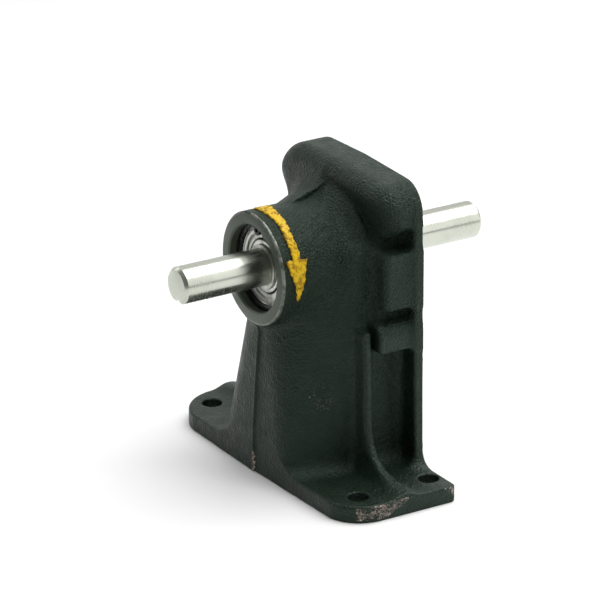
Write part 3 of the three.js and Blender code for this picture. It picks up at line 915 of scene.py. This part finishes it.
def ribbon_cage(prefix, middle, pressed, body):
    """A pressed cage: two waved ribbons that wrap the balls, joined as one ring between them."""
    segments = 240
    pocket = BALL_R + 0.18
    half_angle = math.asin(pocket / PITCH_R)
    pitch = 2 * math.pi / BALLS
    thickness = 0.45
    half_width = 1.55

    def rise(angle):
        nearest = (round(angle / pitch - 0.5) + 0.5) * pitch
        off = abs(angle - nearest)
        if off >= half_angle:
            return 0.0
        return math.sqrt(max(pocket ** 2 - (PITCH_R * math.sin(off)) ** 2, 0))

    bm = bmesh.new()
    sections = []
    for k in range(segments):
        angle = 2 * math.pi * k / segments
        high = rise(angle) + thickness
        low = max(rise(angle), 0.02)
        sections.append([bm.verts.new(about_axis(radius, angle, middle + y))
                         for y in (-high, -low, low, high)
                         for radius in (PITCH_R - half_width, PITCH_R + half_width)])
    for k in range(segments):
        a, b = sections[k], sections[(k + 1) % segments]
        for first in (0, 4):
            loop = [first, first + 1, first + 3, first + 2]
            for i in range(4):
                p, q = loop[i], loop[(i + 1) % 4]
                bm.faces.new((a[p], a[q], b[q], b[p]))
    piece = piece_from(bm, f"{prefix}_ribbon_cage", 40)
    finish_piece(piece, pressed, body, "shield_steel", f"{prefix}_cage")


def round_axis(arc):
    return [(radius * math.sin(t), radius * math.cos(t)) for radius, t in arc]


def eared_ring(name, start, thickness, inner, outer, taper, gap,
               ear_r, ear_centre, ear_hole, quarter=False):
    """A retaining ring: a tapering band with a gap, and a drilled ear on each side of the gap."""
    inward = ear_centre < inner
    sign = 1 if inward else -1
    steps = 120
    full = 2 * math.pi
    offset = gap + ear_r / ear_centre * 0.8
    band_end = offset + 0.9 * ear_r / ear_centre
    plain_edge = [(outer if inward else inner, t) for t in np.linspace(gap, full - gap, steps)]
    tapered_edge = []
    for t in np.linspace(full - band_end, band_end, steps):
        width = (outer - inner) * (1 - taper * (0.5 + 0.5 * math.cos(t)))
        tapered_edge.append((outer - width if inward else inner + width, t))
    ears, holes = [], []
    for centre in (full - offset, offset):
        cx, cz = ear_centre * math.sin(centre), ear_centre * math.cos(centre)
        tangent = (math.cos(centre), -math.sin(centre))
        radial = (-sign * math.sin(centre), -sign * math.cos(centre))
        ear = []
        for t in np.linspace(-math.pi / 2, math.pi / 2, 17):
            side = ear_r * math.sin(t)
            depth = ear_r * math.cos(t)
            ear.append((cx - side * tangent[0] + depth * radial[0],
                        cz - side * tangent[1] + depth * radial[1]))
        ears.append(ear)
        holes.append([(cx + ear_hole * math.cos(t), cz + ear_hole * math.sin(t))
                      for t in np.linspace(0, full, 24, endpoint=False)])
    outlines = [round_axis(plain_edge) + ears[0] + round_axis(tapered_edge) + ears[1], *holes]
    if quarter:
        outlines = [[(-z, x) for x, z in outline] for outline in outlines]
    return plate(name, outlines, start, start + thickness)


def rings(spring, pressed):
    bore_clip = {"thickness": 1.75, "inner": 21.0, "outer": 24.6, "taper": 0.42, "gap": 0.10,
                 "ear_r": 2.6, "ear_centre": 19.4, "ear_hole": 1.25}
    shaft_clip = {"thickness": 1.2, "inner": 9.65, "outer": 12.4, "taper": 0.35, "gap": 0.12,
                  "ear_r": 1.8, "ear_centre": 12.7, "ear_hole": 0.85, "quarter": True}
    bore_at, shaft_at = RECESS - 1.85, RECESS - 1.3
    for side in ("front", "rear"):
        piece = eared_ring(f"{side}_bore_circlip", bore_at, **bore_clip)
        finish_piece(piece, spring, "frame", "spring_steel", f"{side}_bore_ring")
        piece = eared_ring(f"{side}_shaft_circlip", shaft_at, **shaft_clip)
        finish_piece(piece, pressed, "rotor", "spring_steel", f"{side}_shaft_ring")
        bore_at = DEPTH - bore_at - bore_clip["thickness"]
        shaft_at = DEPTH - shaft_at - shaft_clip["thickness"]
    wave_washer(spring)


def wave_washer(spring):
    lo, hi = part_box("preload_wave_spring")
    front, back = lo.y / MM - FACE_Y, hi.y / MM - FACE_Y
    inner, outer, thickness = 20.7, SEAT_R - 0.5, 0.4
    section = ((inner, 0), (outer, 0), (outer, thickness), (inner, thickness))
    waves = 4
    segments = 200
    bm = bmesh.new()
    rows = []
    for k in range(segments):
        angle = 2 * math.pi * k / segments
        y = front + (back - front - thickness) * (0.5 + 0.5 * math.sin(waves * angle))
        rows.append([bm.verts.new(about_axis(radius, angle, y + dy)) for radius, dy in section])
    for k in range(segments):
        a, b = rows[k], rows[(k + 1) % segments]
        for i in range(4):
            j = (i + 1) % 4
            bm.faces.new((a[i], a[j], b[j], b[i]))
    piece = piece_from(bm, "wave_washer", 40)
    finish_piece(piece, spring, "frame", "spring_steel", "preload_wave_spring")


# ---- camera, light and floor ---------------------------------------------------------------------
CAMERA_AZIMUTH = 57.83        # degrees round from the front, towards +X
CAMERA_ELEVATION = 21.89
CAMERA_DISTANCE = 2444.5
CAMERA_LENS = 278.7           # on the 36 mm wide frame
AIM_UP = 4.86                 # aim point, off the middle of the box
AIM_SIDE = -14.16


def camera():
    azimuth, elevation = math.radians(CAMERA_AZIMUTH), math.radians(CAMERA_ELEVATION)
    level = math.cos(elevation)
    forward = Vector((-math.sin(azimuth) * level, math.cos(azimuth) * level, -math.sin(elevation)))
    right = Vector((math.cos(azimuth), math.sin(azimuth), 0))
    up = right.cross(forward)
    aim = Vector((0, 0, TOP / 2)) + right * AIM_SIDE + up * AIM_UP
    data = bpy.data.cameras.new("photo_view")
    data.lens = CAMERA_LENS
    data.sensor_width = 36
    data.clip_end = 50
    eye = link("photo_view", data)
    eye.location = (aim - forward * CAMERA_DISTANCE) * MM
    eye.rotation_euler = forward.to_track_quat("-Z", "Y").to_euler()
    bpy.context.scene.camera = eye


def soft_light(name, position, size, power):
    """A rectangular softbox aimed at the middle of the object; place and size in metres."""
    data = bpy.data.lights.new(name, "AREA")
    data.shape = "RECTANGLE"
    data.size, data.size_y = size
    data.energy = power
    lamp = link(name, data)
    lamp.location = position
    target = Vector((0, 0, 0.09))
    lamp.rotation_euler = (target - Vector(position)).to_track_quat("-Z", "Y").to_euler()


def surroundings():
    """Pale surroundings, brightest behind the object as the camera sees it."""
    world = bpy.data.worlds.new("studio_white")
    bpy.context.scene.world = world
    world.use_nodes = True
    nodes, links = world.node_tree.nodes, world.node_tree.links
    background = nodes["Background"]
    background.inputs["Strength"].default_value = 1.0
    coords = nodes.new("ShaderNodeTexCoord")
    towards = nodes.new("ShaderNodeVectorMath")
    towards.operation = "DOT_PRODUCT"
    towards.inputs[1].default_value = (-0.80, 0.56, 0.22)
    glow = nodes.new("ShaderNodeMapRange")
    glow.interpolation_type = "SMOOTHSTEP"
    for socket, number in (("From Min", 0.05), ("From Max", 0.75), ("To Min", 0.20), ("To Max", 0.85)):
        glow.inputs[socket].default_value = number
    links.new(coords.outputs["Generated"], towards.inputs[0])
    links.new(towards.outputs["Value"], glow.inputs["Value"])
    links.new(glow.outputs["Result"], background.inputs["Color"])


def studio():
    bpy.context.scene.view_settings.view_transform = "Standard"
    soft_light("overhead_softbox", (0.1, 0.4, 1.4), (1.3, 1.7), 28)
    soft_light("left_softbox", (-1.2, -0.5, 0.9), (0.5, 0.7), 1.0)
    soft_light("right_softbox", (1.2, 0.8, 0.75), (0.8, 1.2), 4.2)
    surroundings()
    reach = 6.0
    corners = [(-reach, -reach, 0), (reach, -reach, 0), (reach, reach, 0), (-reach, reach, 0)]
    mesh = bpy.data.meshes.new("studio_floor")
    mesh.from_pydata(corners, [], [(0, 1, 2, 3)])
    mesh.materials.append(floor_paint())
    floor = link("studio_floor", mesh)
    floor.location.z = -0.0002


# ---- assembly ------------------------------------------------------------------------------------
camera()
studio()
paint, machined = casting_paint(), machined_iron()
polished, pressed, spring = bearing_steel(), shield_steel(), spring_steel()
casting(paint, machined)
bore_rings(machined)
arrow(arrow_paint())
shaft(ground_steel())
bearing("front_bearing", RECESS, polished, pressed)
bearing("rear_bearing", DEPTH - RECESS - BEARING_WIDTH, polished, pressed)
rings(spring, pressed)
